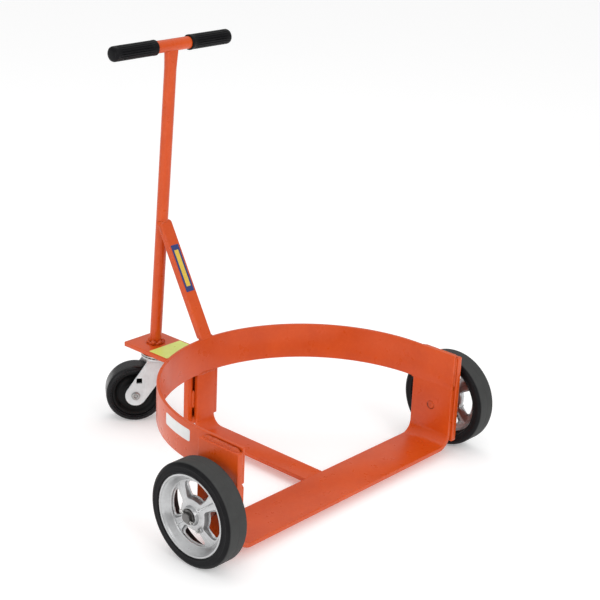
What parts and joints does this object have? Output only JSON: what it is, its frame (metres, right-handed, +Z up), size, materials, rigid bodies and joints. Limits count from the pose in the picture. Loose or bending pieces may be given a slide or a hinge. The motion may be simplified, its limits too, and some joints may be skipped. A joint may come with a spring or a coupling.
{
  "type": "drum caddy",
  "caption": "Low steel caddy that rolls a drum upright: a half ring and flat straps hold it between wheels on stub axles, with a swivel caster and a T handle behind.",
  "frame": {"origin": "on the floor, under the middle of the caddy's overall box", "axes": "+Z up, open front of the ring towards -Y, handle and caster towards +Y, wheel axles along X; left and right are as seen from the open front"},
  "size_m": [0.817, 0.6993, 0.8434],
  "materials": {
    "frame_paint": "orange powder coat over welded steel, light orange peel, worn at edges",
    "weld_bead": "rippled weld bead under the same orange coat",
    "axle_steel": "plain turned steel, oily and slightly dark",
    "washer_zinc": "bright zinc plate",
    "hub_aluminium": "die cast, satin, faint flow marks",
    "tyre_rubber": "smooth moulded rubber, satin tread",
    "bearing_steel": "ground steel with a film of grease",
    "caster_zinc": "bright zinc plated pressing",
    "caster_core": "black moulded core, satin",
    "caster_tread": "hard black tread, slightly glossy",
    "grip_rubber": "ribbed black vinyl, satin",
    "label_white": "plain white film label",
    "label_yellow": "plain yellow film label",
    "label_blue": "plain blue film label with a yellow band"
  },
  "bodies": {
    "frame": {"ring_band": "frame_paint", "front_strap": "frame_paint", "centre_strap": "frame_paint", "rear_channel": "frame_paint", "axle_plate_left": "frame_paint", "axle_plate_right": "frame_paint", "caster_mount_plate": "frame_paint", "handle_tube": "frame_paint", "handle_crossbar": "frame_paint", "handle_brace": "frame_paint", "handle_foot_weld": "weld_bead", "axle_plate_welds": "weld_bead", "channel_stitch_welds": "weld_bead", "brace_foot_welds": "weld_bead", "axle_weld_left": "weld_bead", "axle_weld_right": "weld_bead", "grip_left": "grip_rubber", "axle_left": "axle_steel", "axle_collar_left": "axle_steel", "axle_washers_left": "axle_steel", "cotter_pin_left": "washer_zinc", "grip_right": "grip_rubber", "axle_right": "axle_steel", "axle_collar_right": "axle_steel", "axle_washers_right": "axle_steel", "cotter_pin_right": "washer_zinc", "caster_top_plate": "caster_zinc", "caster_upper_race": "caster_zinc", "caster_kingpin": "caster_zinc", "caster_kingpin_nut": "caster_zinc", "band_decal": "label_white", "plate_decal": "label_yellow", "brace_decal": "label_blue"},
    "wheel_left": {"wheel_hub_left": "hub_aluminium", "wheel_tyre_left": "tyre_rubber", "bearing_cup_left": "bearing_steel", "bearing_rollers_left": "bearing_steel", "bearing_cage_left": "bearing_steel", "grease_fitting_left": "washer_zinc"},
    "wheel_right": {"wheel_hub_right": "hub_aluminium", "wheel_tyre_right": "tyre_rubber", "bearing_cup_right": "bearing_steel", "bearing_rollers_right": "bearing_steel", "bearing_cage_right": "bearing_steel", "grease_fitting_right": "washer_zinc"},
    "caster_fork": {"caster_fork": "caster_zinc", "caster_swivel_balls": "bearing_steel", "caster_axle_bolt": "caster_zinc", "caster_axle_nut": "caster_zinc", "caster_axle_sleeve": "bearing_steel"},
    "caster_wheel": {"caster_wheel_core": "caster_core", "caster_wheel_tyre": "caster_tread", "caster_wheel_rollers": "bearing_steel"}
  },
  "joints": [
    {"name": "left_wheel_spin", "type": "hinge", "parent": "frame", "child": "wheel_left", "pos_m": [-0.374, -0.2481, 0.1016], "axis": [1, 0, 0], "continuous": true},
    {"name": "right_wheel_spin", "type": "hinge", "parent": "frame", "child": "wheel_right", "pos_m": [0.374, -0.2481, 0.1016], "axis": [1, 0, 0], "continuous": true},
    {"name": "caster_swivel", "type": "hinge", "parent": "frame", "child": "caster_fork", "pos_m": [0, 0.2607, 0.15], "axis": [0, 0, 1], "continuous": true},
    {"name": "caster_wheel_spin", "type": "hinge", "parent": "caster_fork", "child": "caster_wheel", "pos_m": [-0.0407, 0.29307, 0.0635], "axis": [-0.6225, -0.7826, 0], "continuous": true}
  ]
}
